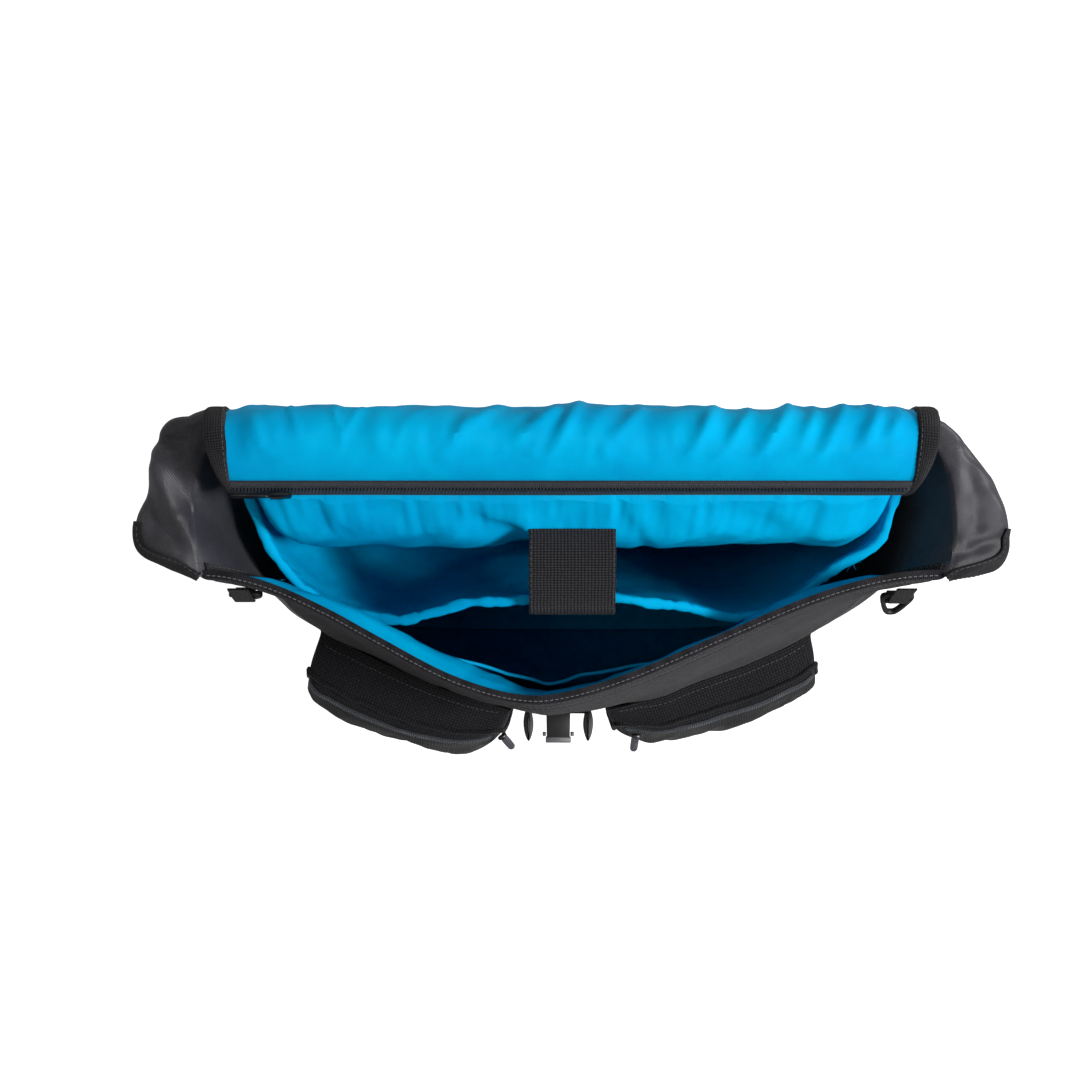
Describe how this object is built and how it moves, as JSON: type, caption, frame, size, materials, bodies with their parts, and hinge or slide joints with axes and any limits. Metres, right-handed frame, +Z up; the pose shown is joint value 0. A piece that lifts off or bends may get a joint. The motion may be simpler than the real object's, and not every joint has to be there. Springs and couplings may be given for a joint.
{
  "type": "laptop pannier bag",
  "caption": "Open fabric bicycle pannier with a lid thrown back, padded laptop sleeve with strap, outer zip pockets, front buckle, side rings and hooks for a rear carrier.",
  "frame": {"origin": "centre of the underside of the base, on the floor", "axes": "+Z up, +X to the bag's right seen from its front, -Y towards the front panel, +Y towards the bicycle and the lid"},
  "size_m": [0.5007, 0.2266, 0.3521],
  "materials": {
    "woven": "matt plain weave, charcoal",
    "coated": "coated twill with a soft sheen, dark grey",
    "lining": "satin cyan-blue nylon lining",
    "webbing": "ribbed black webbing",
    "zip_tape": "grey-blue zip tape",
    "plastic": "moulded black, satin",
    "rail_plastic": "moulded black rail",
    "pull": "light grey enamelled zip pull"
  },
  "bodies": {
    "root": {"back_panel": "woven", "base_lining": "lining", "base_panel": "woven", "buckle": "plastic", "buckle_socket": "plastic", "buckle_tab": "webbing", "corner_band_left": "woven", "corner_band_right": "woven", "front_lining": "lining", "front_panel": "woven", "gusset_left": "coated", "gusset_right": "coated", "laptop_strap": "webbing", "lid_binding": "webbing", "lid_lining": "lining", "lid_outer": "woven", "lid_zip_slider": "pull", "lid_zip_tape": "zip_tape", "lid_zip_teeth": "plastic", "pocket_left": "woven", "pocket_pull_left": "pull", "pocket_pull_right": "pull", "pocket_right": "woven", "pocket_zip_left": "zip_tape", "pocket_zip_right": "zip_tape", "rack_rail": "rail_plastic", "ring_tab_left": "webbing", "ring_tab_right": "webbing", "seam_tape_left": "webbing", "seam_tape_right": "webbing", "side_ring_left": "plastic", "side_ring_right": "plastic", "sleeve_back": "lining", "sleeve_divider": "lining", "slip_pocket": "lining", "socket_web": "webbing"}
  },
  "joints": []
}
